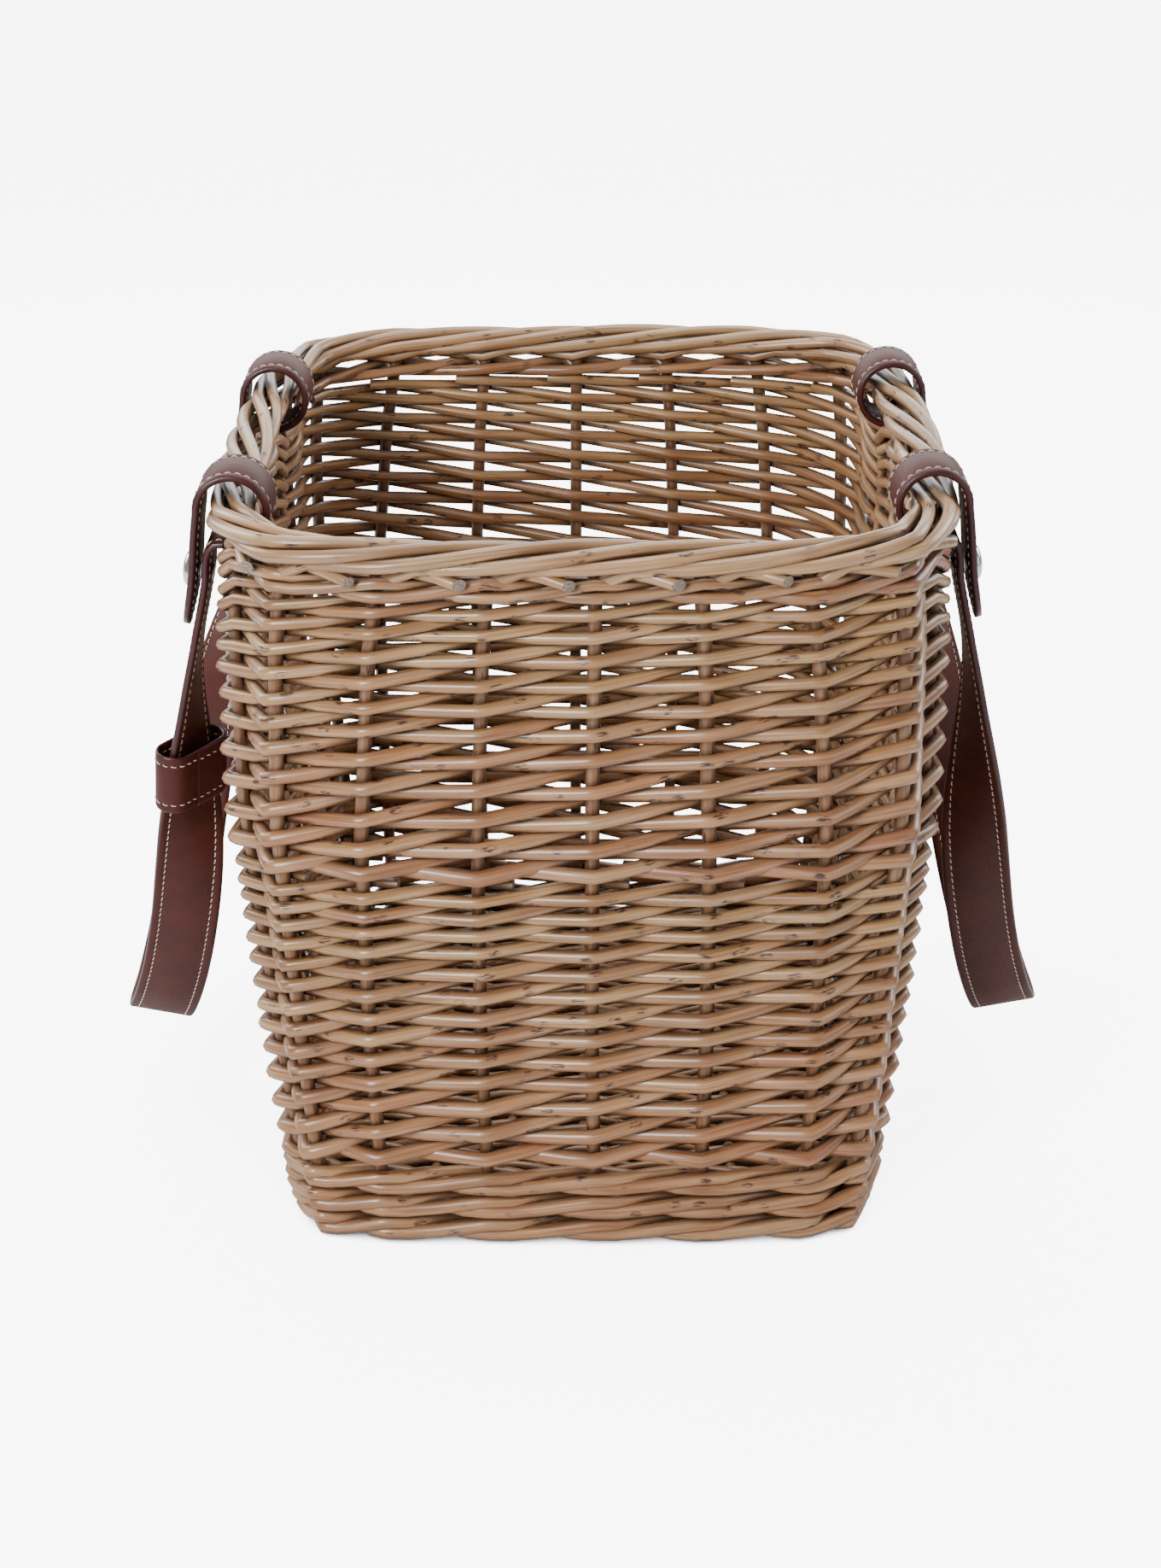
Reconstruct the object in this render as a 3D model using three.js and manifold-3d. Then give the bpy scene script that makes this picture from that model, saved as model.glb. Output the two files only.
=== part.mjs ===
// A square willow picnic basket with two long leather carrying handles.
// Millimetres, +Z up. The origin is on the floor under the middle of the basket; the front faces -Y.
// The basket is woven from the bottom up: a base on cross sticks, a waled foot, two bands of siding
// round upright stakes, a top wale and a rolled border. Each handle is one long strap: its two ends
// pass through the wall under the border, go up inside, over the border and down outside, where a
// press stud closes them onto the strap.

import * as THREE from "three";
import { mergeVertices } from "three/addons/utils/BufferGeometryUtils.js";
import Module from "manifold-3d";

const wasm = await Module();
wasm.setup();

// ---- Driving dimensions: the basket ----

const GAP = 0.3; // left between touching pieces
const HALF_WIDTH = 170; // outer wall face at the rim along X, at a corner's tangent point
const HALF_DEPTH = 184; // the same along Y
const RIM_BOW = 0.05; // bulge of each side between its corners at the rim, as a share of the half size
const FOOT_BOW = 0.022; // and at the floor
const RIM_CORNER = 60; // plan radius of the corners at the rim
const FOOT_CORNER = 30; // and at the floor
const WALL = 14; // from outer to inner face of the weave
const BORDER_Z = 386; // middle of the rolled border
const BORDER_HALF_WIDTH = 11.4;
const BORDER_HALF_HEIGHT = 8;
const BORDER_INSET = 5.5; // border's middle line in from the outer wall face
const FOOT_BEND_Z = 23; // where the wall starts to lean out more gently
// What the outer wall face adds to the half width and to the half depth, at each height.
const WALL_PROFILE = [
  [0, -19.6, -5.6],
  [FOOT_BEND_Z, -13.5, -4],
  [117, -4.3, 1],
  [241, 6, 8],
  [331, 6, 5],
  [BORDER_Z, 2, 4],
];
const FOOT_TOP = 44; // top of the waled foot
const BAND_SPLIT = 217; // where the lower siding ends and the upper one starts
const SIDING_TOP = 360;
const WALE_TOP = 377.5;
const FOOT_CHAMFER = 5; // rounding of the foot's lower edge
const STAKE_RADIUS = 3.6;
const STAKE_BOTTOM = 4;
const BASE_BOTTOM = 6;
const BASE_THICKNESS = 11.5;
const BASE_STICKS = 7;
const BASE_STICK_SPACING = 40;
const BASE_STICK_RADIUS = 3.6;
const BASE_STICK_SHORTER = 16; // a stick's end from the inner wall face
const OUTER_STICK_SHORTER = 28; // the same for the outermost sticks, which end by the corners

// ---- Driving dimensions: the handles ----

const HINGE_X = 171.3; // the line that a handle's loops turn about, along the border
const HINGE_Z = BORDER_Z;
const LOOP_HALF_SPACING = 96; // from a handle's middle to each loop
const RIGHT_MIDDLE_Y = -3;
const LEFT_MIDDLE_Y = -12;
const STRAP_WIDTH = 36;
const STRAP_THICKNESS = 3.6;
const LOOP_RADIUS = 17.3; // middle of the leather round the border
const LOOP_LEAVES_AT = -75; // degrees from straight out, where the strap leaves the loop
const SLOT_RADIUS = 23.5; // room for the loops in the top wale
const STUD_RADIUS = 9.75;
const STUD_HOLE = 2.8;
const SHANK_RADIUS = 2.5;
const SOCKET_RADIUS = 5;
const SOCKET_THICKNESS = 0.8;
const POST_RADIUS = 4.5;
const POST_THICKNESS = 1;
const WASHER_THICKNESS = 0.9;
// The cap's dome, as [share of STUD_RADIUS, height above the leather].
const STUD_DOME = [
  [1, 0.6],
  [0.9, 1.8],
  [0.66, 3.1],
  [0.35, 3.9],
  [0, 4.1],
];
const WRAP_HEIGHT = 33;
const WRAP_WIDTH = 46;
const WRAP_DEPTH = 20.4;
const WRAP_LEATHER = 2.5;
const WRAP_DROP = -146.5; // middle of the wrap below the hinge line

// The middle line of half a handle's strap, from its front loop to its lowest point, as
// [out from the hinge line, along it from the handle's middle, up from it].
const STRAP_ROUTE = [
  [9.6, -LOOP_HALF_SPACING, -17],
  [12.6, -LOOP_HALF_SPACING, -20.2],
  [14, -LOOP_HALF_SPACING, -26.5],
  [14.8, -LOOP_HALF_SPACING, -36],
  [18, -LOOP_HALF_SPACING, -51],
  [22.4, -LOOP_HALF_SPACING, -70],
  [26.5, -95, -92],
  [29.5, -93, -118],
  [32, -90, WRAP_DROP],
  [34, -87, -172],
  [37, -82, -201],
  [43.5, -72, -241],
  [53, -56, -281],
  [63, -38, -312],
  [70.5, -19, -330],
  [73, 0, -335],
];
// The same for the end that hangs outside the strap, with half its width at each point.
const TAB_ROUTE = [
  [LOOP_RADIUS, -GAP, 18],
  [19.2, -14, 18],
  [21.4, -34.5, 18],
  [23.8, -48, 17],
  [25.6, -56, 12.5],
  [26.8, -61, 6.5],
  [27.3, -63, 2.5],
];
const STUD_ON_TAB = 2; // the point of TAB_ROUTE that carries the stud
const STUD_ON_STRAP = 3; // and the one of STRAP_ROUTE
const TWIST_STARTS = -66; // the strap turns on itself by a quarter between these heights
const TWIST_ENDS = -258;
const BOTTOM_TILT = 0.2; // rise of the strap's outer edge at its lowest point, as a slope
// How much further out than its front half a handle's back half hangs, at its fullest.
const BACK_BULGE = { left: 13, right: 6 };
const BULGE_STARTS = -120; // and the height where that starts, ending at the lowest point

// ---- Materials ----

const finish = (color, roughness, metalness = 0) =>
  new THREE.MeshStandardMaterial({ color, roughness, metalness });
const WILLOW = finish(0xb08a5e, 0.5);
const WILLOW_DARK = finish(0x86613c, 0.6);
const WILLOW_PALE = finish(0xc2a27a, 0.5);
const LEATHER = finish(0x5a2622, 0.45);
const STEEL = finish(0xc9c9cb, 0.2, 1);

// ---- Solids ----

// The triangles of a list of hoops, each a closed run of points, with every hoop joined to the next.
function joinHoops(hoops, closed) {
  const count = hoops[0].length;
  const triangles = [];
  for (let h = 0; h < hoops.length - (closed ? 0 : 1); h++) {
    const next = (h + 1) % hoops.length;
    for (let i = 0; i < count; i++) {
      const j = (i + 1) % count;
      triangles.push(h * count + i, h * count + j, next * count + j);
      triangles.push(h * count + i, next * count + j, next * count + i);
    }
  }
  if (!closed) {
    const last = (hoops.length - 1) * count;
    for (let i = 1; i < count - 1; i++) {
      triangles.push(0, i + 1, i);
      triangles.push(last, last + i, last + i + 1);
    }
  }
  return triangles;
}

function loft(hoops, closed) {
  const geometry = new THREE.BufferGeometry();
  const points = hoops.flat().flatMap((p) => [p.x, p.y, p.z]);
  geometry.setAttribute("position", new THREE.Float32BufferAttribute(points, 3));
  geometry.setIndex(joinHoops(hoops, closed));
  return geometry;
}

const loftRing = (hoops) => loft(hoops, true);
const loftBar = (hoops) => loft(hoops, false);

function toSolid(geometry) {
  const bare = geometry.clone();
  bare.deleteAttribute("normal");
  bare.deleteAttribute("uv");
  const merged = mergeVertices(bare, 1e-4);
  return new wasm.Manifold(
    new wasm.Mesh({
      numProp: 3,
      vertProperties: merged.attributes.position.array,
      triVerts: new Uint32Array(merged.index.array),
    }),
  );
}

function toGeometry(solid) {
  const mesh = solid.getMesh();
  const geometry = new THREE.BufferGeometry();
  geometry.setAttribute("position", new THREE.BufferAttribute(mesh.vertProperties, 3));
  geometry.setIndex(new THREE.BufferAttribute(mesh.triVerts, 1));
  return geometry;
}

const cutAway = (geometry, tools) =>
  toGeometry(tools.reduce((solid, tool) => solid.subtract(toSolid(tool)), toSolid(geometry)));

// ---- The basket's plan ----

// What the profile adds to the half width and the half depth at a height, straight between its points.
function alongProfile(z) {
  const last = WALL_PROFILE.length - 1;
  const above = Math.min(Math.max(WALL_PROFILE.findIndex(([height]) => height >= z), 1), last);
  const [z0, ...below] = WALL_PROFILE[above - 1];
  const [z1, ...next] = WALL_PROFILE[above];
  return below.map((v, i) => v + ((next[i] - v) * (z - z0)) / (z1 - z0));
}

// Half sizes, corner radius and bow of the outer wall face at a height, moved out by `offset`.
function planAt(z, offset) {
  const [wider, deeper] = alongProfile(z);
  const share = z / BORDER_Z;
  return {
    a: HALF_WIDTH + wider + offset,
    b: HALF_DEPTH + deeper + offset,
    corner: FOOT_CORNER + (RIM_CORNER - FOOT_CORNER) * share + offset,
    bow: FOOT_BOW + (RIM_BOW - FOOT_BOW) * share,
  };
}

// One quarter of the outline, all positive: t runs from 0, the middle of the side along X, through the
// corner, which lies from 1 to 2, to 3, the middle of the side along Y.
function quarterPoint(t, { a, b, corner }) {
  if (t < 1) return [(a - corner) * t, b];
  if (t > 2) return [a, (b - corner) * (3 - t)];
  const angle = ((t - 1) * Math.PI) / 2;
  return [a - corner + corner * Math.sin(angle), b - corner + corner * Math.cos(angle)];
}

// A point of the wall. The turn runs anticlockwise seen from above, from 0 at the middle of the
// front to 12, with three steps to a quarter.
function planPoint(turn, z, offset) {
  const plan = planAt(z, offset);
  const quarter = Math.floor(turn / 3) % 4;
  const t = turn - Math.floor(turn / 3) * 3;
  const [x, y] = quarterPoint(quarter % 2 ? 3 - t : t, plan);
  const sideX = quarter < 2 ? 1 : -1;
  const sideY = quarter === 0 || quarter === 3 ? -1 : 1;
  const bowX = 1 + plan.bow * (1 - (y / plan.b) ** 2);
  const bowY = 1 + plan.bow * (1 - (x / plan.a) ** 2);
  return new THREE.Vector3(sideX * x * bowX, sideY * y * bowY, z);
}

// The turns of the points that make up a hoop: each corner is finer than each half side.
const CORNER_STEPS = 6;
const SIDE_STEPS = 2;
const HOOP_TURNS = [0, 3, 6, 9].flatMap((start) => [
  ...steps(start, start + 1, SIDE_STEPS),
  ...steps(start + 1, start + 2, CORNER_STEPS),
  ...steps(start + 2, start + 3, SIDE_STEPS),
]);

function steps(from, to, count) {
  return Array.from({ length: count }, (_, i) => from + ((to - from) * i) / count);
}

const hoopAt = (z, offset) => HOOP_TURNS.map((turn) => planPoint(turn, z, offset));

// A band of the wall between two heights, with a hoop at each height that the profile names.
function wallBand(bottom, top) {
  const between = WALL_PROFILE.map(([z]) => z).filter((z) => z > bottom && z < top);
  const heights = [bottom, ...between, top];
  const outer = heights.map((z) => hoopAt(z, 0));
  const inner = heights.map((z) => hoopAt(z, -WALL)).reverse();
  return loftRing([...outer, ...inner]);
}

// ---- Stakes: upright rods inside the weave ----

const STAKE_SIDES = 6;

function stakeBar(turn, bottom, top, radius) {
  const between = WALL_PROFILE.map(([z]) => z).filter((z) => z > bottom && z < top);
  return loftBar(
    [bottom, ...between, top].map((z) => {
      const middle = planPoint(turn, z, -WALL / 2);
      return steps(0, 2 * Math.PI, STAKE_SIDES).map(
        (angle) =>
          new THREE.Vector3(
            middle.x + radius * Math.cos(angle),
            middle.y + radius * Math.sin(angle),
            z,
          ),
      );
    }),
  );
}

// The turn of the wall's point nearest to a place on one side, at the border's height.
function turnOfSide(sign, y) {
  const plan = planAt(BORDER_Z, -WALL / 2);
  const flatY = plan.b - plan.corner;
  const fraction = y / flatY;
  if (sign > 0) return 3 + fraction;
  return 9 - fraction;
}

// Distances round the wall, so that stakes can be spread evenly between two turns.
const FINE = 1200;
const FINE_TURNS = steps(0, 24, 2 * FINE);
const FINE_POINTS = FINE_TURNS.map((turn) => planPoint(turn % 12, BORDER_Z, -WALL / 2));
const ROUND = FINE_POINTS.reduce(
  (sums, p, i) => [...sums, i ? sums[i - 1] + p.distanceTo(FINE_POINTS[i - 1]) : 0],
  [],
);

// Turns that share out the way from one turn to a later one, each in the middle of its share.
function spread(from, to, count) {
  const lengthAt = (turn) => ROUND[Math.round((turn * FINE) / 12)];
  const share = (lengthAt(to) - lengthAt(from)) / count;
  return Array.from({ length: count }, (_, i) => {
    const wanted = lengthAt(from) + (i + 0.5) * share;
    return FINE_TURNS[ROUND.findIndex((length) => length >= wanted)] % 12;
  });
}

// Every loop lies half way between two stakes.
const loopTurns = {
  rightFront: turnOfSide(1, RIGHT_MIDDLE_Y - LOOP_HALF_SPACING),
  rightBack: turnOfSide(1, RIGHT_MIDDLE_Y + LOOP_HALF_SPACING),
  leftBack: turnOfSide(-1, LEFT_MIDDLE_Y + LOOP_HALF_SPACING),
  leftFront: turnOfSide(-1, LEFT_MIDDLE_Y - LOOP_HALF_SPACING),
};
const STAKES_BETWEEN_LOOPS = 4;
const STAKES_ACROSS = 9;
const STAKE_TURNS = [
  ...spread(loopTurns.rightFront, loopTurns.rightBack, STAKES_BETWEEN_LOOPS),
  ...spread(loopTurns.rightBack, loopTurns.leftBack, STAKES_ACROSS),
  ...spread(loopTurns.leftBack, loopTurns.leftFront, STAKES_BETWEEN_LOOPS),
  ...spread(loopTurns.leftFront, loopTurns.rightFront + 12, STAKES_ACROSS),
];

// ---- Basket pieces ----

const basket = new THREE.Group();

function addTo(group, name, geometry, material) {
  const mesh = new THREE.Mesh(geometry, material);
  mesh.name = name;
  group.add(mesh);
  return mesh;
}

// The holes that the stakes leave in a band.
const stakeHoles = (bottom, top) =>
  STAKE_TURNS.map((turn) => stakeBar(turn, bottom, top, STAKE_RADIUS + GAP));

const footEdge = [hoopAt(0, -WALL), hoopAt(0, -FOOT_CHAMFER), hoopAt(FOOT_CHAMFER, 0)];

function footWale() {
  const outer = [hoopAt(FOOT_BEND_Z, 0), hoopAt(FOOT_TOP, 0)];
  const inner = [hoopAt(FOOT_TOP, -WALL), hoopAt(FOOT_BEND_Z, -WALL)];
  const ring = loftRing([...footEdge.slice(1), ...outer, ...inner, footEdge[0]]);
  return cutAway(ring, stakeHoles(STAKE_BOTTOM - GAP, FOOT_TOP + 1));
}

function siding(bottom, top) {
  return cutAway(wallBand(bottom + GAP, top), stakeHoles(bottom - 1, top + 1));
}

// A bar along Y with its middle at a place, for slots and sticks.
function barAlongY(radius, length, sides, x, y, z) {
  const bar = new THREE.CylinderGeometry(radius, radius, length, sides);
  return bar.translate(x, y, z);
}

function topWale() {
  const slots = [
    [HINGE_X, RIGHT_MIDDLE_Y - LOOP_HALF_SPACING],
    [HINGE_X, RIGHT_MIDDLE_Y + LOOP_HALF_SPACING],
    [-HINGE_X, LEFT_MIDDLE_Y - LOOP_HALF_SPACING],
    [-HINGE_X, LEFT_MIDDLE_Y + LOOP_HALF_SPACING],
  ].map(([x, y]) => barAlongY(SLOT_RADIUS, STRAP_WIDTH + 4 * GAP, 32, x, y, HINGE_Z));
  return cutAway(wallBand(SIDING_TOP + GAP, WALE_TOP - GAP), [
    ...stakeHoles(SIDING_TOP - 1, WALE_TOP + 1),
    ...slots,
  ]);
}

const BORDER_SIDES = 10;

// The border's section is an ellipse round its middle line.
function border() {
  const hoops = steps(0, 2 * Math.PI, BORDER_SIDES).map((angle) => {
    const offset = BORDER_HALF_WIDTH * Math.cos(angle) - BORDER_INSET;
    const z = BORDER_Z + BORDER_HALF_HEIGHT * Math.sin(angle);
    return HOOP_TURNS.map((turn) => planPoint(turn, BORDER_Z, offset).setZ(z));
  });
  return loftRing(hoops);
}

function baseSheet() {
  const inset = -(WALL + GAP);
  return loftBar([hoopAt(BASE_BOTTOM, inset), hoopAt(BASE_BOTTOM + BASE_THICKNESS, inset)]);
}

const baseStickXs = Array.from(
  { length: BASE_STICKS },
  (_, i) => (i - (BASE_STICKS - 1) / 2) * BASE_STICK_SPACING,
);
const BASE_MIDDLE_Z = BASE_BOTTOM + BASE_THICKNESS / 2;
const baseStick = (x, radius, length) => barAlongY(radius, length, 6, x, 0, BASE_MIDDLE_Z);

addTo(
  basket,
  "base_weave",
  cutAway(
    baseSheet(),
    baseStickXs.map((x) => baseStick(x, BASE_STICK_RADIUS + GAP, 2 * HALF_DEPTH)),
  ),
  WILLOW,
);
for (const [i, x] of baseStickXs.entries()) {
  const outermost = i === 0 || i === BASE_STICKS - 1;
  const reach = HALF_DEPTH - WALL - (outermost ? OUTER_STICK_SHORTER : BASE_STICK_SHORTER);
  addTo(basket, `base_stick_${i + 1}`, baseStick(x, BASE_STICK_RADIUS, 2 * reach), WILLOW_DARK);
}
addTo(basket, "foot_wale", footWale(), WILLOW);
addTo(basket, "lower_siding", siding(FOOT_TOP, BAND_SPLIT), WILLOW);
addTo(basket, "upper_siding", siding(BAND_SPLIT, SIDING_TOP), WILLOW);
addTo(basket, "top_wale", topWale(), WILLOW);
addTo(basket, "border", border(), WILLOW_PALE);
for (const [i, turn] of STAKE_TURNS.entries()) {
  const rod = stakeBar(turn, STAKE_BOTTOM, WALE_TOP, STAKE_RADIUS);
  addTo(basket, `stake_${String(i + 1).padStart(2, "0")}`, rod, WILLOW_DARK);
}

// ---- Handle pieces, made for the right side: x is out from the hinge line, z up from it ----

// A strip of leather along a curve, with its width along `acrossAt` and half its width from `halfAt`.
function strip(curve, count, acrossAt, halfAt) {
  return loftBar(
    Array.from({ length: count + 1 }, (_, i) => {
      const { point, across, face } = frameOn(curve, i / count, acrossAt);
      const corner = (w, f) =>
        point
          .clone()
          .addScaledVector(across, w * halfAt(i / count))
          .addScaledVector(face, (f * STRAP_THICKNESS) / 2);
      return [corner(-1, -1), corner(1, -1), corner(1, 1), corner(-1, 1)];
    }),
  );
}

function frameOn(curve, t, acrossAt) {
  const point = curve.getPoint(t);
  const along = curve.getTangent(t).normalize();
  const across = acrossAt(point);
  across.addScaledVector(along, -across.dot(along)).normalize();
  return { point, along, across, face: along.clone().cross(across) };
}

const radians = THREE.MathUtils.degToRad;
const onLoop = (degrees, y) =>
  new THREE.Vector3(
    LOOP_RADIUS * Math.cos(radians(degrees)),
    y,
    LOOP_RADIUS * Math.sin(radians(degrees)),
  );

const frontHalf = [
  onLoop(LOOP_LEAVES_AT, -LOOP_HALF_SPACING).add(new THREE.Vector3(GAP, 0, 0)),
  ...STRAP_ROUTE.map((p) => new THREE.Vector3(...p)),
];
const LOWEST = STRAP_ROUTE.at(-1)[2];
const SPANS = 2 * (frontHalf.length - 1);

function strapCurve(side) {
  const backHalf = frontHalf
    .slice(0, -1)
    .reverse()
    .map((p) => {
      const share = Math.max(0, (p.z - BULGE_STARTS) / (LOWEST - BULGE_STARTS));
      return new THREE.Vector3(p.x + BACK_BULGE[side] * Math.sin(Math.PI * share), -p.y, p.z);
    });
  return new THREE.CatmullRomCurve3([...frontHalf, ...backHalf]);
}

// The strap hangs with its width along the border at the top. Going down, each leg turns so that
// its outer edge swings away from the handle's middle, until its width points straight out.
function strapAcross(point) {
  const turned = THREE.MathUtils.smoothstep(-point.z, -TWIST_STARTS, -TWIST_ENDS);
  const angle = (turned * Math.PI) / 2;
  const [out, along] = [Math.sin(angle), Math.cos(angle)];
  return new THREE.Vector3(out, Math.sign(point.y) * along, BOTTOM_TILT * out);
}

const alongBorder = () => new THREE.Vector3(0, 1, 0);

// A round bar through the leather at a place of a curve.
function bore(frame) {
  const bar = new THREE.CylinderGeometry(STUD_HOLE, STUD_HOLE, 4 * STRAP_THICKNESS, 12);
  return placeOnFace(bar, frame);
}

// Turns a shape made round +Y so that +Y points out of the leather's outer face.
function placeOnFace(geometry, { point, face }) {
  const outward = face.clone().multiplyScalar(Math.sign(face.x));
  const turn = new THREE.Quaternion().setFromUnitVectors(new THREE.Vector3(0, 1, 0), outward);
  return geometry.applyQuaternion(turn).translate(point.x, point.y, point.z);
}

const studFrames = (curve) =>
  [STUD_ON_STRAP + 1, SPANS - STUD_ON_STRAP - 1].map((place) =>
    frameOn(curve, place / SPANS, strapAcross),
  );

const handleStrap = (curve) =>
  cutAway(
    strip(curve, 2 * SPANS, strapAcross, () => STRAP_WIDTH / 2),
    studFrames(curve).map(bore),
  );

// The stretch of leather round the border, from the top of the tab back to where the strap leaves.
function loop() {
  const [inner, outer] = [-0.5, 0.5].map((share) => LOOP_RADIUS + share * STRAP_THICKNESS);
  const from = GAP / LOOP_RADIUS;
  const to = 2 * Math.PI + radians(LOOP_LEAVES_AT) - from;
  const section = new THREE.Shape();
  section.absarc(0, 0, outer, from, to, false);
  section.absarc(0, 0, inner, to, from, true);
  const settings = { depth: STRAP_WIDTH, bevelEnabled: false, curveSegments: 10 };
  const band = new THREE.ExtrudeGeometry(section, settings);
  return band.rotateX(Math.PI / 2).translate(0, STRAP_WIDTH / 2, 0);
}

const tabCurve = new THREE.CatmullRomCurve3(TAB_ROUTE.map(([x, z]) => new THREE.Vector3(x, 0, z)));
const TAB_SPANS = TAB_ROUTE.length - 1;
const tabStud = frameOn(tabCurve, STUD_ON_TAB / TAB_SPANS, alongBorder);
const TAB_STEPS_PER_SPAN = 2;

function tabHalfWidth(t) {
  const place = Math.min(t * TAB_SPANS, TAB_SPANS - 1e-6);
  const [before, after] = [TAB_ROUTE[Math.floor(place)], TAB_ROUTE[Math.floor(place) + 1]];
  return THREE.MathUtils.lerp(before[2], after[2], place % 1);
}

const tab = () =>
  cutAway(strip(tabCurve, TAB_STEPS_PER_SPAN * TAB_SPANS, alongBorder, tabHalfWidth), [
    bore(tabStud),
  ]);

const STUD_SIDES = 12;
const FACE = STRAP_THICKNESS / 2 + GAP; // from the leather's middle to what lies on it

// A turned metal piece from its outline, as [radius, height from the leather's middle].
const turned = (outline) =>
  new THREE.LatheGeometry(
    outline.map(([r, h]) => new THREE.Vector2(r, h)),
    STUD_SIDES,
  );

// Domed cap outside the tab, with its shank and the socket behind the leather.
const studCap = () =>
  turned([
    [0, -FACE - SOCKET_THICKNESS],
    [SOCKET_RADIUS, -FACE - SOCKET_THICKNESS],
    [SOCKET_RADIUS, -FACE],
    [SHANK_RADIUS, -FACE],
    [SHANK_RADIUS, FACE],
    [STUD_RADIUS, FACE],
    ...STUD_DOME.map(([share, height]) => [share * STUD_RADIUS, FACE + height]),
  ]);

// Post on the strap that the cap presses onto, riveted through to a washer on the far side.
const studPost = () =>
  turned([
    [0, -FACE - WASHER_THICKNESS],
    [POST_RADIUS, -FACE - WASHER_THICKNESS],
    [POST_RADIUS, -FACE],
    [SHANK_RADIUS, -FACE],
    [SHANK_RADIUS, FACE],
    [POST_RADIUS, FACE],
    [POST_RADIUS, FACE + POST_THICKNESS],
    [0, FACE + POST_THICKNESS],
  ]);

// A flat loop of leather that slides on the strap and can hold both handles together.
function wrap(curve) {
  const stadium = (outline, width, depth) => {
    const half = (width - depth) / 2;
    outline.absarc(half, 0, depth / 2, -Math.PI / 2, Math.PI / 2, false);
    outline.absarc(-half, 0, depth / 2, Math.PI / 2, (3 * Math.PI) / 2, false);
    return outline;
  };
  const section = stadium(new THREE.Shape(), WRAP_WIDTH, WRAP_DEPTH);
  const inside = [WRAP_WIDTH, WRAP_DEPTH].map((size) => size - 2 * WRAP_LEATHER);
  section.holes.push(stadium(new THREE.Path(), ...inside));
  const settings = { depth: WRAP_HEIGHT, bevelEnabled: false, curveSegments: 4 };
  const band = new THREE.ExtrudeGeometry(section, settings);
  const place = STRAP_ROUTE.findIndex(([, , z]) => z === WRAP_DROP) + 1;
  const { point, along, across, face } = frameOn(curve, place / SPANS, strapAcross);
  const turn = new THREE.Matrix4().makeBasis(across, face, along).setPosition(point);
  return band.translate(0, 0, -WRAP_HEIGHT / 2).applyMatrix4(turn);
}

// ---- Handles ----

function handle(side, sign, middleY) {
  const group = new THREE.Group();
  group.position.set(sign * HINGE_X, middleY, HINGE_Z);
  group.scale.x = sign;
  const curve = strapCurve(side);
  addTo(group, `${side}_strap`, handleStrap(curve), LEATHER);
  for (const [i, end] of ["front", "back"].entries()) {
    const y = (i ? 1 : -1) * LOOP_HALF_SPACING;
    const name = `${side}_${end}`;
    addTo(group, `${name}_loop`, loop(), LEATHER).position.y = y;
    addTo(group, `${name}_tab`, tab(), LEATHER).position.y = y;
    addTo(group, `${name}_stud_cap`, placeOnFace(studCap(), tabStud), STEEL).position.y = y;
    addTo(group, `${name}_stud_post`, placeOnFace(studPost(), studFrames(curve)[i]), STEEL);
  }
  return group;
}

const leftHandle = handle("left", -1, LEFT_MIDDLE_Y);
addTo(leftHandle, "handle_wrap", wrap(strapCurve("left")), LEATHER);

const picnicBasket = new THREE.Group();
picnicBasket.add(basket, leftHandle, handle("right", 1, RIGHT_MIDDLE_Y));

export default picnicBasket;
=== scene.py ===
import math
import random

import bpy
import numpy as np
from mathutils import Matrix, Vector


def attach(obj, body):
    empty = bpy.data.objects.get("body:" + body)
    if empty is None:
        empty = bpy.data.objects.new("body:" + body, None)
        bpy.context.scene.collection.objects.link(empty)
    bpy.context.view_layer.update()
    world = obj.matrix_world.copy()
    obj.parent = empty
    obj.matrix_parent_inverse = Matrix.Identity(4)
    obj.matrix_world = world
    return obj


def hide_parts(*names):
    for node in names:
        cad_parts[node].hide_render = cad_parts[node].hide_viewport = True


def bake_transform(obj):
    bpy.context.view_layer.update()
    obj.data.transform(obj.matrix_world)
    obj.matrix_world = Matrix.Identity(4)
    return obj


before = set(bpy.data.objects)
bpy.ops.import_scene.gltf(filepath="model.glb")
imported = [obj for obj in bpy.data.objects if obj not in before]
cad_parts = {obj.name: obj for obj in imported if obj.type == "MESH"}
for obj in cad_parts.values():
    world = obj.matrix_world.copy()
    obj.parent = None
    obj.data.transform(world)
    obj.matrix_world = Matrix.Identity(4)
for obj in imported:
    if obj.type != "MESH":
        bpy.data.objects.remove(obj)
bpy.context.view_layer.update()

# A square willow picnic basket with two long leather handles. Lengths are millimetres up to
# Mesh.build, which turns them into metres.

rng = random.Random(11)
UP = np.array([0.0, 0.0, 1.0])

# ---- The basket's measures, as in the CAD model ----

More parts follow.
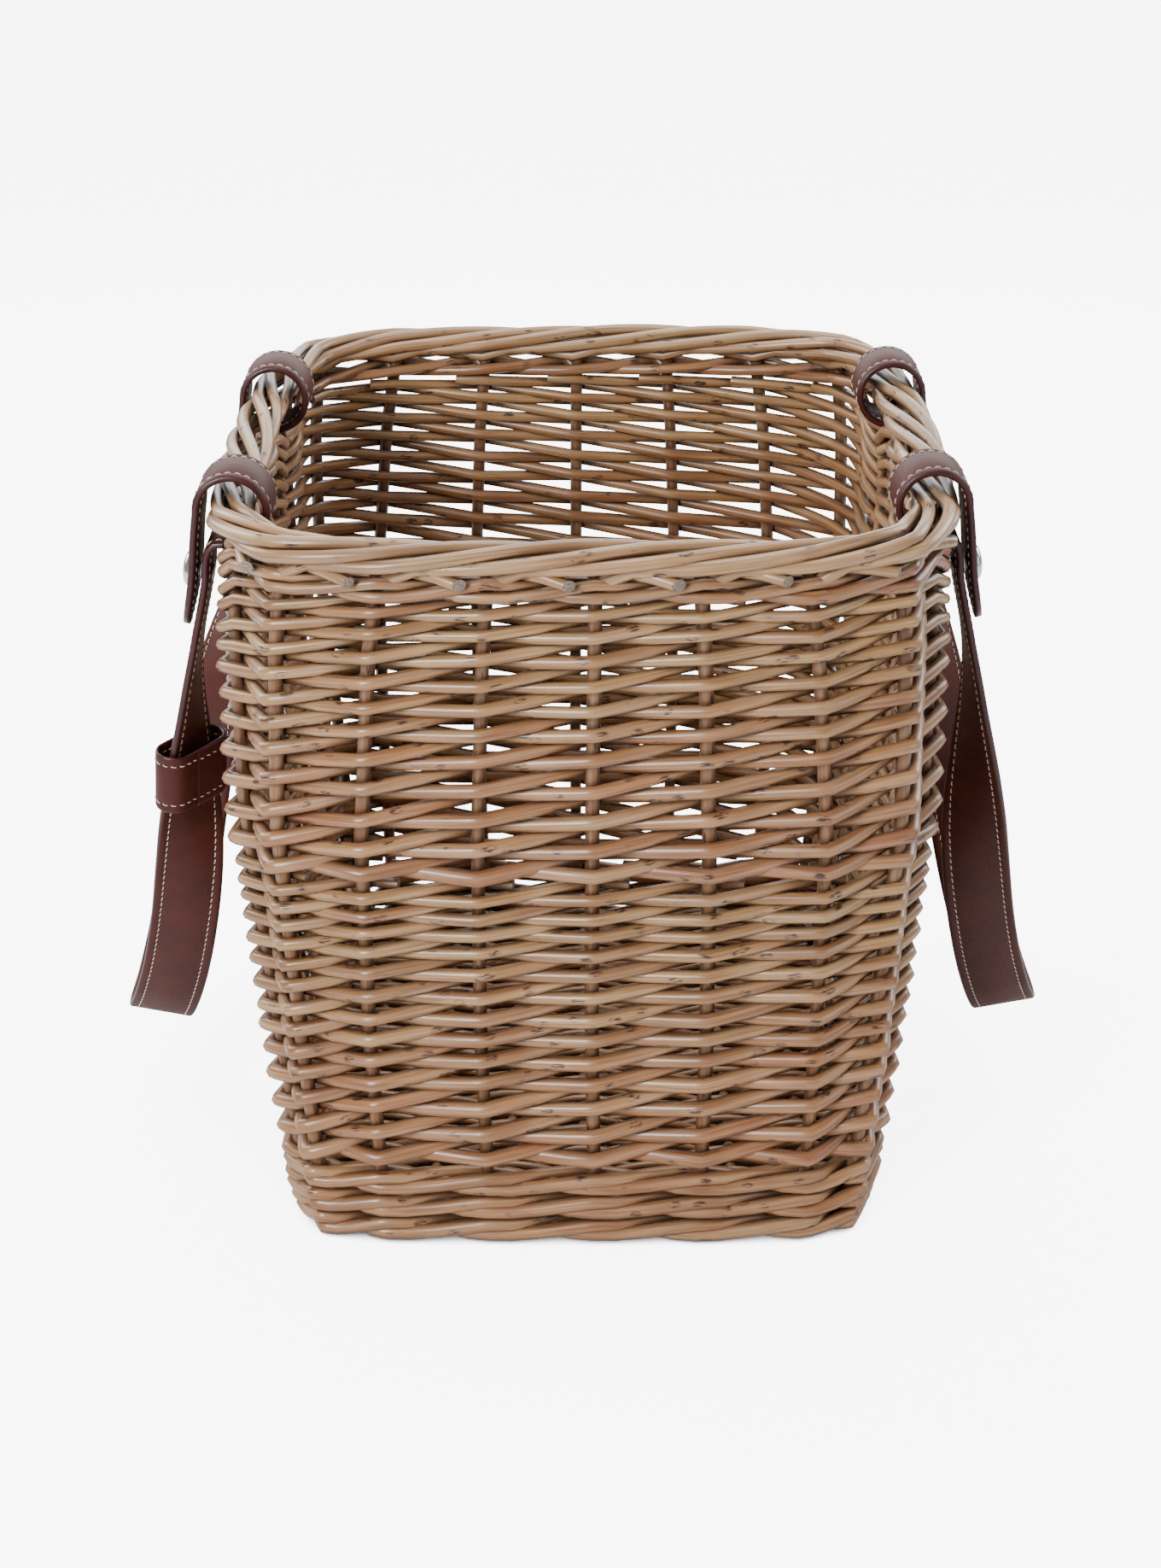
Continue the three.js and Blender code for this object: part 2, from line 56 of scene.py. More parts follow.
HALF_WIDTH, HALF_DEPTH, RIM_BOW, FOOT_BOW = 170, 184, 0.05, 0.022
RIM_CORNER, FOOT_CORNER, BORDER_Z, BORDER_INSET = 60, 30, 386, 5.5
PROFILE_Z = [0, 23, 117, 241, 331, 386]
PROFILE_WIDER = [-19.6, -13.5, -4.3, 6, 6, 2]
PROFILE_DEEPER = [-5.6, -4, 1, 8, 5, 4]
HINGE_X, LOOP_HALF_SPACING, STRAP_WIDTH, STRAP_THICKNESS = 171.3, 96, 36, 3.6
LOOP_RADIUS, LOOP_LEAVES_AT, GAP = 17.3, -75, 0.3
MIDDLE_Y = {"left": -12, "right": -3}
STRAP_ROUTE = [
    [9.6, -96, -17], [12.6, -96, -20.2], [14, -96, -26.5], [14.8, -96, -36],
    [18, -96, -51], [22.4, -96, -70], [26.5, -95, -92], [29.5, -93, -118],
    [32, -90, -146.5], [34, -87, -172], [37, -82, -201], [43.5, -72, -241],
    [53, -56, -281], [63, -38, -312], [70.5, -19, -330], [73, 0, -335],
]
TAB_ROUTE = [
    [17.3, -0.3, 18], [19.2, -14, 18], [21.4, -34.5, 18], [23.8, -48, 17],
    [25.6, -56, 12.5], [26.8, -61, 6.5], [27.3, -63, 2.5],
]
TWIST_STARTS, TWIST_ENDS, BOTTOM_TILT = -66, -258, 0.2
BACK_BULGE, BULGE_STARTS = {"left": 13, "right": 6}, -120
WRAP_PLACE, WRAP_HEIGHT, WRAP_WIDTH, WRAP_DEPTH, WRAP_LEATHER = 9, 33, 43.8, 19.2, 1.8
FLAP_LEATHER, FLAP_ENDS = 1.0, -5

# ---- The weave's measures ----

WEAVE_MIDDLE = -8.2  # middle of the wall, in from its outer face
STAKE_RADIUS = 3.5
STAKES_BETWEEN_LOOPS = [4, 9, 4, 9]  # right side, back, left side, front
NESTLE = 0.9  # how far apart a stake and a rod lie, as a share of their radii together
WALL_STRAIGHT, BORDER_STRAIGHT = 0.85, 0.6  # 0 follows the wall's curve, 1 runs straight between stakes
LOOP_REACH = 17  # the part of the wall that a loop covers, each side of its middle
DIP, DIP_REACH, DIP_STARTS_Z, DIP_HEIGHT, DIP_ENDS_Z = 11, 40, 305, 62, 379
# Heights at which the rods cross in front of the stakes, from the bottom row up.
LOWER_ROWS = [53.2, 69.4, 86.4, 101.2, 115.0, 127.7, 140.3, 153.4, 166.7, 179.0, 189.8, 199.7, 209.7]
UPPER_ROWS = [223.7, 238.3, 254.3, 270.1, 285.7, 299.4, 311.9, 324.4, 337.0, 348.9, 359.0]
FOOT_ROUNDS = [(4.6, 11.6), (19.6, 26.6), (34.2, 41.0)]
TOP_ROUND = (367.4, 374.8)


def linear(*rgb):
    """An sRGB colour of 0 to 255 as linear values."""
    return np.array([(c / 255 / 12.92) if c < 11 else ((c / 255 + 0.055) / 1.055) ** 2.4 for c in rgb])


def smooth(t):
    t = np.clip(t, 0, 1)
    return t * t * (3 - 2 * t)


def unit(v):
    return v / np.maximum(np.linalg.norm(v, axis=-1, keepdims=True), 1e-9)


# ---- The basket's plan ----


def plan_point(turn, z, offset):
    """Points of the wall: the turn runs from 0 at the middle of the front to 12, anticlockwise."""
    turn, z, offset = np.broadcast_arrays(*(np.asarray(v, float) for v in (turn, z, offset)))
    corner = FOOT_CORNER + (RIM_CORNER - FOOT_CORNER) * z / BORDER_Z + offset
    bow = FOOT_BOW + (RIM_BOW - FOOT_BOW) * z / BORDER_Z
    a = HALF_WIDTH + np.interp(z, PROFILE_Z, PROFILE_WIDER) + offset
    b = HALF_DEPTH + np.interp(z, PROFILE_Z, PROFILE_DEEPER) + offset
    quarter = np.floor(turn / 3).astype(int) % 4
    t = turn - np.floor(turn / 3) * 3
    t = np.where(quarter % 2 == 1, 3 - t, t)
    angle = np.clip(t - 1, 0, 1) * math.pi / 2
    x = np.where(t < 1, (a - corner) * t, np.where(t > 2, a, a - corner + corner * np.sin(angle)))
    y = np.where(t < 1, b, np.where(t > 2, (b - corner) * (3 - t), b - corner + corner * np.cos(angle)))
    side_x = np.where(quarter < 2, 1, -1)
    side_y = np.where((quarter == 0) | (quarter == 3), -1, 1)
    bow_x = 1 + bow * (1 - (y / b) ** 2)
    bow_y = 1 + bow * (1 - (x / a) ** 2)
    return np.stack([side_x * x * bow_x, side_y * y * bow_y, z], axis=-1)


def travelled(path):
    """How far along a path each of its points is."""
    return np.concatenate([[0], np.cumsum(np.linalg.norm(np.diff(path, axis=0), axis=1))])


# Lengths round the wall, for three laps of it.
FINE_TURNS = np.linspace(0, 36, 7201)
FINE_LENGTHS = travelled(plan_point(FINE_TURNS % 12, BORDER_Z, -7))
ROUND = np.interp(12, FINE_TURNS, FINE_LENGTHS)


def loop_turn(sign, y):
    fraction = y / (HALF_DEPTH + PROFILE_DEEPER[-1] - RIM_CORNER)
    return 3 + fraction if sign > 0 else 9 - fraction


LOOP_TURNS = [
    loop_turn(1, MIDDLE_Y["right"] - LOOP_HALF_SPACING),
    loop_turn(1, MIDDLE_Y["right"] + LOOP_HALF_SPACING),
    loop_turn(-1, MIDDLE_Y["left"] + LOOP_HALF_SPACING),
    loop_turn(-1, MIDDLE_Y["left"] - LOOP_HALF_SPACING),
]
LOOP_LENGTHS = np.interp(LOOP_TURNS, FINE_TURNS, FINE_LENGTHS)


def share_out(start, end, count):
    return [start + (end - start) * (i + 0.5) / count for i in range(count)]


LOOP_ENDS = [*LOOP_LENGTHS, LOOP_LENGTHS[0] + ROUND]
STAKE_LENGTHS = np.array([
    length
    for start, end, count in zip(LOOP_ENDS, LOOP_ENDS[1:], STAKES_BETWEEN_LOOPS)
    for length in share_out(start, end, count)
])
STAKES = len(STAKE_LENGTHS)


def length_at(place):
    """How far round the wall a place is, where place i is stake i."""
    lap = np.floor(np.asarray(place, float) / STAKES)
    known = np.concatenate([STAKE_LENGTHS, [STAKE_LENGTHS[0] + ROUND]])
    return np.interp(place - lap * STAKES, range(STAKES + 1), known) + lap * ROUND


def turn_at(place):
    return np.interp(length_at(place) % ROUND + ROUND, FINE_LENGTHS, FINE_TURNS) % 12


def near_loop(place, reach):
    """1 at the middle of a handle's loop, falling to 0 at `reach` from it."""
    length = length_at(place) % ROUND
    apart = [np.abs((length - at + ROUND / 2) % ROUND - ROUND / 2) for at in LOOP_LENGTHS]
    return 1 - smooth((np.min(apart, axis=0) - LOOP_REACH) / (reach - LOOP_REACH))


def stretched(place, z, offset, straightness):
    """Points on rods that run more or less straight from stake to stake, which shows at the corners."""
    low, high = np.floor(place), np.floor(place) + 1
    along = ((length_at(place) - length_at(low)) / (length_at(high) - length_at(low)))[:, None]
    curved = plan_point(turn_at(place), z, offset)
    chord = plan_point(turn_at(low), z, offset) * (1 - along) + plan_point(turn_at(high), z, offset) * along
    return curved + (chord - curved) * straightness


def wall(place, z, offset):
    """Points of the weave, pushed down where a handle's loop passes over it."""
    dip = DIP * near_loop(place, DIP_REACH) * smooth((z - DIP_STARTS_Z) / DIP_HEIGHT) * (z < DIP_ENDS_Z)
    return stretched(place, z - dip, WEAVE_MIDDLE + offset, WALL_STRAIGHT)


# ---- Meshes ----


class Mesh:
    """Geometry gathered from many small pieces into one object."""

    def __init__(self):
        self.points, self.tints, self.grains = [], [], []
        self.faces, self.slots, self.smooth = [], [], []
        self.count = 0

    def add(self, points, faces, slot=0, tint=(1, 1, 1), grain=None, smooth=True):
        points = np.asarray(points, float).reshape(-1, 3)
        self.points.append(points)
        self.tints.append(np.broadcast_to(np.asarray(tint, float), (len(points), 3)))
        self.grains.append(points if grain is None else np.asarray(grain, float).reshape(-1, 3))
        for i, face in enumerate(faces):
            self.faces.append([self.count + v for v in face])
            self.slots.append(slot[i] if isinstance(slot, list) else slot)
            self.smooth.append(smooth)
        self.count += len(points)

    def build(self, name, materials, place=None):
        points = np.concatenate(self.points)
        faces = self.faces
        if place is not None:
            points, mirrored = place(points)
            if mirrored:
                faces = [face[::-1] for face in faces]
        data = bpy.data.meshes.new(name)
        data.from_pydata((points * 0.001).tolist(), [], faces)
        data.polygons.foreach_set("use_smooth", self.smooth)
        data.polygons.foreach_set("material_index", self.slots)
        tint = data.attributes.new("tint", "FLOAT_COLOR", "POINT")
        colours = np.concatenate([np.concatenate(self.tints), np.ones((len(points), 1))], axis=1)
        tint.data.foreach_set("color", colours.astype(np.float32).ravel())
        grain = data.attributes.new("grain", "FLOAT_VECTOR", "POINT")
        grain.data.foreach_set("vector", np.concatenate(self.grains).astype(np.float32).ravel())
        for material in materials:
            data.materials.append(material)
        data.update()
        made = bpy.data.objects.new(name, data)
        bpy.context.scene.collection.objects.link(made)
        return made


def grid_faces(rows, columns, closed_rows=False):
    """Quads of a grid whose columns close on themselves."""
    faces = []
    for i in range(rows if closed_rows else rows - 1):
        a, b = i * columns, ((i + 1) % rows) * columns
        for j in range(columns):
            k = (j + 1) % columns
            faces.append((a + j, b + j, b + k, a + k))
    return faces


CAP_RISE = 0.12  # how far a cut end swells, as a share of the rod's radius


def rod(mesh, path, radii, tint, sides=8, ref=UP, slot=0, end_slot=None, cut=None):
    """A round rod along a path, with caps where an end slot is given, the last cut square to `cut`."""
    path = np.asarray(path, float)
    radii = np.broadcast_to(np.asarray(radii, float), (len(path),))
    along = unit(np.gradient(path, axis=0))
    side = unit(np.cross(along, ref))
    up = np.cross(side, along)
    angle = np.arange(sides) * 2 * math.pi / sides
    ring = side[:, None] * np.cos(angle)[None, :, None] + up[:, None] * np.sin(angle)[None, :, None]
    points = path[:, None] + radii[:, None, None] * ring
    if cut is not None:
        slide = -((points[-1] - path[-1]) @ cut) / (along[-1] @ cut)
        points[-1] += slide[:, None] * along[-1]
    start = rng.uniform(0, 4000)
    grain = np.empty_like(points)
    grain[..., 0] = radii[:, None] * np.cos(angle) + start
    grain[..., 1] = radii[:, None] * np.sin(angle)
    grain[..., 2] = travelled(path)[:, None] + start
    tint = np.asarray(tint, float)
    if tint.ndim == 2:
        tint = np.repeat(tint, sides, axis=0)
    mesh.add(points, grid_faces(len(path), sides), slot, tint, grain)
    if end_slot is not None:
        for i, order in ((0, 1), (-1, -1)):
            middle = path[i] + along[i] * CAP_RISE * radii[i] * (-1 if i == 0 else 1)
            cap = np.concatenate([points[i], [middle]])
            fan = [(j, (j + 1) % sides, sides)[::order] for j in range(sides)]
            tint_end = tint if tint.ndim == 1 else tint[0 if i == 0 else -1]
            mesh.add(cap, fan, end_slot, tint_end, np.concatenate([grain[i], [grain[i].mean(0)]]), False)


# ---- Materials ----


def material(name, roughness, metallic=0.0):
    made = bpy.data.materials.new(name)
    made.use_nodes = True
    tree = made.node_tree
    shader = tree.nodes["Principled BSDF"]
    shader.inputs["Roughness"].default_value = roughness
    shader.inputs["Metallic"].default_value = metallic
    return made, tree, shader


def node(tree, kind, **values):
    made = tree.nodes.new(kind)
    for name, value in values.items():
        if hasattr(made, name):
            setattr(made, name, value)
        else:
            made.inputs[name.replace("_", " ")].default_value = value
    return made


def ramp(tree, source, low, high, to_low=0.0, to_high=1.0):
    made = node(tree, "ShaderNodeMapRange", interpolation_type="SMOOTHSTEP")
    for socket, value in zip(("From Min", "From Max", "To Min", "To Max"), (low, high, to_low, to_high)):
        made.inputs[socket].default_value = value
    tree.links.new(source, made.inputs["Value"])
    return made.outputs["Result"]


def mix(tree, factor, first, second, blend="MIX"):
    made = tree.nodes.new("ShaderNodeMix")
    made.data_type, made.blend_type = "RGBA", blend
    sockets = {"Factor": factor, "A": first, "B": second}
    for s in made.inputs:
        if s.name in sockets and (s.type == "RGBA" or (s.name == "Factor" and s.type == "VALUE")):
            value = sockets[s.name]
            if isinstance(value, bpy.types.NodeSocket):
                tree.links.new(value, s)
            else:
                s.default_value = value
    return made.outputs[2]


def scaled(tree, vector, scale):
    made = node(tree, "ShaderNodeVectorMath", operation="MULTIPLY")
    tree.links.new(vector, made.inputs[0])
    made.inputs[1].default_value = scale
    return made.outputs[0]


def noise(tree, vector, scale=1.0, detail=2.0):
    made = node(tree, "ShaderNodeTexNoise", Scale=scale, Detail=detail)
    tree.links.new(vector, made.inputs["Vector"])
    return made.outputs["Fac"]


def attribute(tree, name):
    return node(tree, "ShaderNodeAttribute", attribute_name=name)


def bump(tree, shader, height, strength, distance):
    made = node(tree, "ShaderNodeBump", Strength=strength, Distance=distance)
    tree.links.new(height, made.inputs["Height"])
    tree.links.new(made.outputs["Normal"], shader.inputs["Normal"])


def willow(name, streaks=0.6, roughness=0.42, coat=0.6):
    """Peeled and varnished willow: long grain, bud scars and small dark specks, with painted shade darkening
    the crevices where rods meet.
    """
    made, tree, shader = material(name, roughness)
    grain = attribute(tree, "grain").outputs["Vector"]
    tint = attribute(tree, "tint").outputs["Color"]
    fibre = noise(tree, scaled(tree, grain, (0.9, 0.9, 0.03)), 1.0, 6.0)
    bands = noise(tree, scaled(tree, grain, (0.5, 0.5, 0.02)), 1.0, 3.0)
    patches = noise(tree, scaled(tree, grain, (0.12, 0.12, 0.022)), 1.0, 2.0)
    colour = mix(tree, ramp(tree, fibre, 0.32, 0.66, 0.0, streaks), tint, (0.16, 0.075, 0.03, 1))
    colour = mix(tree, ramp(tree, bands, 0.35, 0.7, 0.0, 0.3), colour, (0.62, 0.43, 0.26, 1))
    colour = mix(tree, ramp(tree, patches, 0.42, 0.7, 0.0, 0.5), colour, (0.50, 0.29, 0.16, 1), "MULTIPLY")
    cells = node(tree, "ShaderNodeTexVoronoi", Scale=1.0)
    tree.links.new(scaled(tree, grain, (0.12, 0.12, 0.06)), cells.inputs["Vector"])
    crumbs = noise(tree, scaled(tree, grain, (1.3, 1.3, 0.2)), 1.0, 3.0)
    near = ramp(tree, cells.outputs["Distance"], 0.16, 0.27, 1.0, 0.0)
    scar = node(tree, "ShaderNodeMath", operation="MULTIPLY")
    tree.links.new(near, scar.inputs[0])
    tree.links.new(ramp(tree, crumbs, 0.46, 0.55), scar.inputs[1])
    colour = mix(tree, scar.outputs[0], colour, (0.05, 0.02, 0.012, 1))
    # Painted shade: ambient occlusion darkens the colour towards near-black in the crevices where rods cross
    # and touch.
    crevice_shade_ao = node(tree, "ShaderNodeAmbientOcclusion", samples=4, Distance=0.011)
    painted_crevice_shade = ramp(tree, crevice_shade_ao.outputs["AO"], 0.2, 0.85, 0.88, 0.0)
    colour = mix(tree, painted_crevice_shade, colour, (0.05, 0.023, 0.011, 1))
    tree.links.new(colour, shader.inputs["Base Color"])
    shader.inputs["Coat Weight"].default_value = coat
    shader.inputs["Coat Roughness"].default_value = 0.22
    bump(tree, shader, fibre, 0.4, 0.0005)
    return made


def end_grain():
    made, tree, shader = material("willow_end_grain", 0.8)
    rings = noise(tree, scaled(tree, attribute(tree, "grain").outputs["Vector"], (1.1, 1.1, 0)), 1.0, 3.0)
    colour = mix(tree, ramp(tree, rings, 0.35, 0.65), (0.17, 0.12, 0.095, 1), (0.36, 0.28, 0.23, 1))
    tree.links.new(colour, shader.inputs["Base Color"])
    return made


def leather(name, base, dark, roughness, gloss):
    made, tree, shader = material(name, roughness)
    shader.inputs["Specular IOR Level"].default_value = gloss
    place = attribute(tree, "grain").outputs["Vector"]
    clouds = noise(tree, scaled(tree, place, (0.06, 0.06, 0.06)), 1.0, 5.0)
    pores = node(tree, "ShaderNodeTexVoronoi", Scale=1.0)
    tree.links.new(scaled(tree, place, (1.3, 1.3, 1.3)), pores.inputs["Vector"])
    colour = mix(tree, ramp(tree, clouds, 0.3, 0.7), (*base, 1), (*dark, 1))
    tree.links.new(colour, shader.inputs["Base Color"])
    bump(tree, shader, pores.outputs["Distance"], 0.22, 0.0003)
    return made


def plain(name, colour, roughness, metallic=0.0):
    made, _, shader = material(name, roughness, metallic)
    shader.inputs["Base Color"].default_value = (*colour, 1)
    return made


WILLOW = willow("willow_rods")
WILLOW_STAKE = willow("willow_stakes", streaks=0.75, roughness=0.5, coat=0.3)
WILLOW_BORDER = willow("willow_border", streaks=0.5)
END_GRAIN = end_grain()
LEATHER = leather("chestnut_leather", linear(74, 28, 22), linear(64, 24, 18), 0.52, 0.28)
LEATHER_EDGE = leather("painted_edge", linear(66, 24, 27), linear(56, 20, 23), 0.36, 0.5)
THREAD = plain("cream_thread", linear(226, 212, 194), 0.7)
STEEL = plain("polished_steel", (0.78, 0.78, 0.78), 0.2, 1.0)

BUTT = linear(170, 114, 69)
TIP = linear(178, 137, 83)
PALE = linear(196, 157, 108)
RED = linear(150, 88, 55)
STAKE_BROWN = linear(140, 93, 58)


def rod_colours(share):
    """Colours along a rod, from its butt (0) to its tip (1), in a tone of its own."""
    share = smooth(np.asarray(share, float))[:, None]
    tone = BUTT * (1 - share) + TIP * share
    pick = rng.random()
    other = PALE if pick > 0.6 else RED
    amount = rng.uniform(0.0, 0.45)
    return (tone * (1 - amount) + other * amount) * rng.uniform(0.86, 1.1)


# ---- The two bands of siding: one long rod started at each stake, climbing one row a stake ----

STEPS = np.array([0, 0.07, 0.22, 0.5, 0.78, 0.93])  # points on a rod from one stake to the next
BEND = 0.12  # share of a smooth wave in a rod's path, the rest being straight from stake to stake


def weave_shape(level):
    """1 in front of a stake at even levels, -1 behind at odd ones."""
    straight = 2 * np.abs(level % 2 - 1) - 1
    return BEND * np.cos(math.pi * level) + (1 - BEND) * straight


def siding(name, node_name, rows, butt_radius, tip_radius):
    levels = 2 * len(rows)
    heights = np.interp(np.arange(levels), np.arange(0, levels, 2), rows)
    heights[-1] = rows[-1] + (rows[-1] - rows[-2]) / 2
    mesh = Mesh()
    for start in range(STAKES):
        steps = [i + STEPS for i in range(levels - 1)]
        level = np.concatenate([[-0.75, -0.5, -0.2], *steps, [levels - 1, levels - 0.7]])
        share = np.clip(level / levels, 0, 1)
        size = rng.uniform(0.93, 1.07)
        radii = size * (butt_radius + (tip_radius - butt_radius) * share ** 0.8)
        unevenness = [rng.uniform(-0.9, 0.9) for _ in range(levels + 2)]
        jitter = np.interp(level, np.arange(-1, levels + 1), unevenness)
        z = np.interp(level, np.arange(levels), heights) + jitter
        reach = NESTLE * (STAKE_RADIUS + radii)
        path = wall(start + level, z, reach * weave_shape(level))
        rod(mesh, path, radii, rod_colours(share), end_slot=1)
    made = mesh.build(name, [WILLOW, END_GRAIN])
    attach(made, "basket")
    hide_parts(node_name)


siding("lower_siding_rods", "lower_siding", LOWER_ROWS, 4.25, 3.15)
siding("upper_siding_rods", "upper_siding", UPPER_ROWS, 4.1, 2.95)

# ---- Waling: three rods at a time, each in front of two stakes and behind the next ----


WALE_PLACES = [0, 0.3, 0.75, 1, 2, 2.25, 2.7, 3]
WALE_OUT = [-1, -0.72, 0.7, 0.97, 0.97, 0.7, -0.72, -1]  # -1 behind a stake, 1 in front
BUTT_DROP = 1.8  # how far a wale's rods start below their round


def waling(name, node_name, rounds, radius, tip_radius):
    mesh = Mesh()
    count = STAKES + 1
    steps = [i + STEPS for i in range(count)]
    level = np.concatenate([[-0.3, -0.15], *steps, [count, count + 0.15]])
    for low, high in rounds:
        first = rng.randrange(STAKES)
        for k in range(3):
            phase = level % 3
            out = np.interp(phase, WALE_PLACES, WALE_OUT)
            lift = np.interp(phase, [0, 0.8, 1.3, 2, 3], [0.5, 0.08, 0.08, 1, 0.5])
            share = np.clip(level / count, 0, 1)
            size = rng.uniform(0.95, 1.05) * (radius + (tip_radius - radius) * share)
            unevenness = [rng.uniform(-0.5, 0.5) for _ in range(count + 2)]
            jitter = np.interp(level, np.arange(-1, count + 1), unevenness)
            z = low + (high - low) * lift + jitter - BUTT_DROP * (1 - smooth(level / 2))
            path = wall(first + k + level, z, NESTLE * (STAKE_RADIUS + size) * out)
            rod(mesh, path, size, rod_colours(share * 0.6), end_slot=1)
    made = mesh.build(name, [WILLOW, END_GRAIN])
    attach(made, "basket")
    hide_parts(node_name)


waling("foot_wale_rods", "foot_wale", FOOT_ROUNDS, 4.1, 3.6)
waling("top_wale_rods", "top_wale", [TOP_ROUND], 3.5, 3.0)

# ---- Stakes ----

STAKE_FOOT_Z, STAKE_TOP_Z = 3.4, 379


def outward_at(place, z):
    """The direction square out from the wall."""
    return unit(plan_point(turn_at(place), z, 10) - plan_point(turn_at(place), z, 0))


stakes = Mesh()
for stake in range(STAKES):
    z = np.linspace(STAKE_FOOT_Z, STAKE_TOP_Z, 26)
    wobble = np.interp(z, [0, 130, 260, 380], [rng.uniform(-0.02, 0.02) for _ in range(4)])
    path = plan_point(turn_at(stake + wobble), z, WEAVE_MIDDLE)
    outward = outward_at(stake, 200)
    tone = STAKE_BROWN * rng.uniform(0.82, 1.15)
    rod(stakes, path, STAKE_RADIUS * rng.uniform(0.96, 1.08), tone, sides=10, ref=outward, end_slot=1)
made = stakes.build("stake_rods", [WILLOW_STAKE, END_GRAIN])
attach(made, "basket")
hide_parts(*[f"stake_{i + 1:02d}" for i in range(STAKES)])

# ---- The rolled border: every stake is laid over its neighbours and tucked under ----

BORDER_WIDE, BORDER_TALL, STRAND = 9.4, 5.2, 3.35
STRAND_STARTS, STRAND_SPAN = 0.35, 4.4  # in stakes, from the rod's own stake
STRAND_ENTERS, STRAND_LEAVES = -58, 232  # degrees round the border's section
PRESSED = 0.9  # how far the rods sink into each other
# Where a rod leaves its stake: place past the stake, height, and distance out from the wall's middle.
RISE_PLACE, RISE_Z, RISE_OUT = [0.02, 0.1], [371, 375.5], [0.5, 3.0]
# Its cut end, under the outside of the border: place past the strand, height, distance out from the
# wall's face, share of a chance droop, and how far it is drawn back in under a loop.
TAIL_PLACE, TAIL_Z, TAIL_OUT = [0.28, 0.52, 0.8, 1.02], [378.6, 379.6, 379.6, 377.2], [-11.5, -7.0, 0.6, 4.6]
TAIL_DROOP, TAIL_TUCK = [0, 0.3, 0.8, 1], [0, 0, 1.5, 4.2]
TUCK_REACH, SQUEEZE_REACH, SQUEEZE = 30, 34, 0.5  # a loop's reach and its grip on the border


def border_point(place, degrees, grow=0.0):
    angle = np.radians(degrees)
    offset = (BORDER_WIDE + grow) * np.cos(angle) - BORDER_INSET
    z = BORDER_Z + (BORDER_TALL + grow) * np.sin(angle)
    points = stretched(place, BORDER_Z, offset, BORDER_STRAIGHT)
    points[:, 2] = z
    return points


border = Mesh()
for stake in range(STAKES):
    share = np.linspace(0, 1, 27)
    tilt, push = rng.uniform(-8, 8), rng.uniform(0.4, 1.9)
    place = stake + STRAND_STARTS + STRAND_SPAN * share
    degrees = STRAND_ENTERS + (STRAND_LEAVES - STRAND_ENTERS) * share + tilt * np.sin(math.pi * share)
    squeezed = near_loop(place, SQUEEZE_REACH)
    grow = push * np.sin(math.pi * share) * (1 - squeezed) - PRESSED - SQUEEZE * squeezed
    over = border_point(place, degrees, grow)
    rise = plan_point(turn_at(stake + np.array(RISE_PLACE)), RISE_Z, WEAVE_MIDDLE + np.array(RISE_OUT))
    tail_place = stake + STRAND_STARTS + STRAND_SPAN + np.array(TAIL_PLACE)
    tucked = near_loop(tail_place, TUCK_REACH)
    tail_z = np.array(TAIL_Z) + rng.uniform(-1.5, 1.0) * np.array(TAIL_DROOP) * (1 - tucked)
    tail_out = np.array(TAIL_OUT) - np.array(TAIL_TUCK) * tucked
    tail = stretched(tail_place, tail_z, tail_out, BORDER_STRAIGHT)
    path = np.concatenate([rise, over, tail])
    size = rng.uniform(0.92, 1.08) * np.linspace(1.06, 0.9, len(path)) * STRAND
    tone = PALE * rng.uniform(0.78, 1.04) + (RED - PALE) * rng.uniform(0, 0.35)
    cut = unit(unit(path[-1] - path[-2]) + rng.uniform(0.6, 1.2) * outward_at(tail_place[-1], 380))
    rod(border, path, size, tone, sides=10, end_slot=1, cut=cut)
made = border.build("border_rods", [WILLOW_BORDER, END_GRAIN])
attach(made, "basket")
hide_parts("border")

# ---- The base: rods woven over and under seven sticks ----

BASE_Z, BASE_PITCH, BASE_ROD, BASE_WAVE, BASE_ROWS = 11.75, 5.2, 2.75, 3.2, 32
STICK_SPACING, STICK_RADIUS, STICKS = 40, 3.4, 7
STICK_HALF, OUTER_STICK_HALF = 154, 142
SHORTEST_HALF = 30  # no rod is laid where the base is narrower than twice this
ALONG_Y = np.array([0, 1.0, 0])

# A quarter of the base's edge, from the side to the front, as distances from its middle.
edge_x, edge_y = np.abs(plan_point(np.linspace(3, 0, 61), 12, -12.5)[:, :2]).T

base = Mesh()
for i in range(-BASE_ROWS, BASE_ROWS + 1):
    y = i * BASE_PITCH
    half = np.interp(abs(y), edge_y, edge_x, right=0)
    if half < SHORTEST_HALF:
        continue
    x = np.linspace(-half, half, 57)
    z = BASE_Z + BASE_WAVE * np.cos(math.pi * (x / STICK_SPACING + i))
    path = np.stack([x, np.full_like(x, y), z], axis=1)
    size = BASE_ROD * rng.uniform(0.93, 1.07)
    rod(base, path, size, rod_colours(np.full(len(x), 0.5)), sides=6, ref=ALONG_Y)
made = base.build("base_rods", [WILLOW, END_GRAIN])
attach(made, "basket")
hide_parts("base_weave")

sticks = Mesh()
for i in range(STICKS):
    x = (i - STICKS // 2) * STICK_SPACING
    half = OUTER_STICK_HALF if i in (0, STICKS - 1) else STICK_HALF
    y = np.linspace(-half, half, 12)
    path = np.stack([np.full_like(y, x), y, np.full_like(y, BASE_Z)], axis=1)
    rod(sticks, path, STICK_RADIUS, STAKE_BROWN * rng.uniform(0.9, 1.1), sides=10, end_slot=1)
made = sticks.build("base_stick_rods", [WILLOW_STAKE, END_GRAIN])
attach(made, "basket")
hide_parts(*[f"base_stick_{i + 1}" for i in range(7)])

# ---- Leather, made for the right side: x is out from the hinge line, z up from it ----


